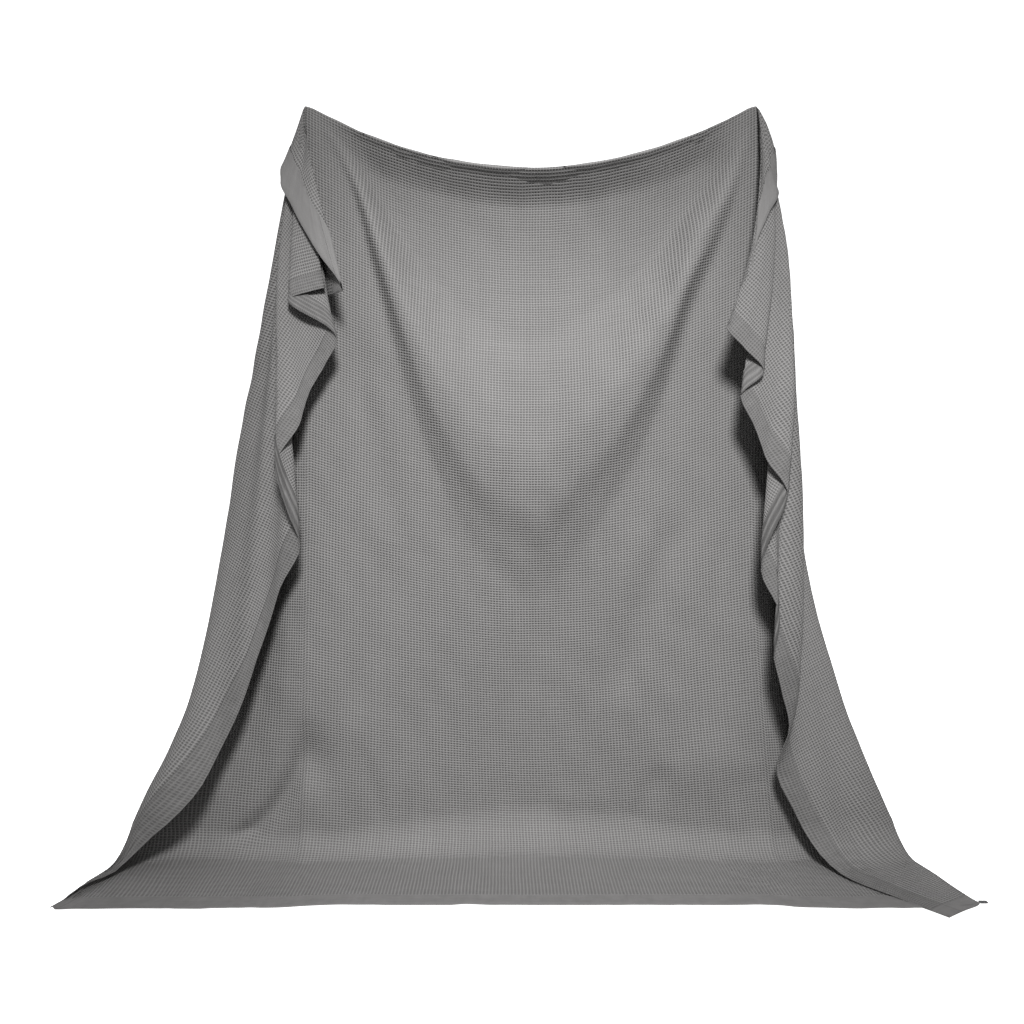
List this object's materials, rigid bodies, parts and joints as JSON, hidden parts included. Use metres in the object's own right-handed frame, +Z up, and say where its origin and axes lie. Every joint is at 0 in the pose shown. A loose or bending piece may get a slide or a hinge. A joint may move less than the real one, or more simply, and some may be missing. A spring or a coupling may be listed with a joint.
{
  "type": "hanging waffle weave cotton blanket",
  "caption": "Grey waffle weave cotton blanket, hung from its upper part so that its panel sags between the held points, its sides fall in pleats and its lower end lies on the floor.",
  "frame": {"origin": "on the floor, under the middle of the whole blanket's box", "axes": "+Z up; X runs along the line from one held point to the other; the viewer and the lower hem are at -Y"},
  "size_m": [2.3844, 0.5022, 2.1083],
  "materials": {
    "waffle_cotton": "matte washed cotton in a square-celled waffle weave, with smoother turned hems",
    "black_tape": "matte black woven tape"
  },
  "bodies": {
    "root": {"blanket": "waffle_cotton", "label_tab": "black_tape"}
  },
  "joints": []
}
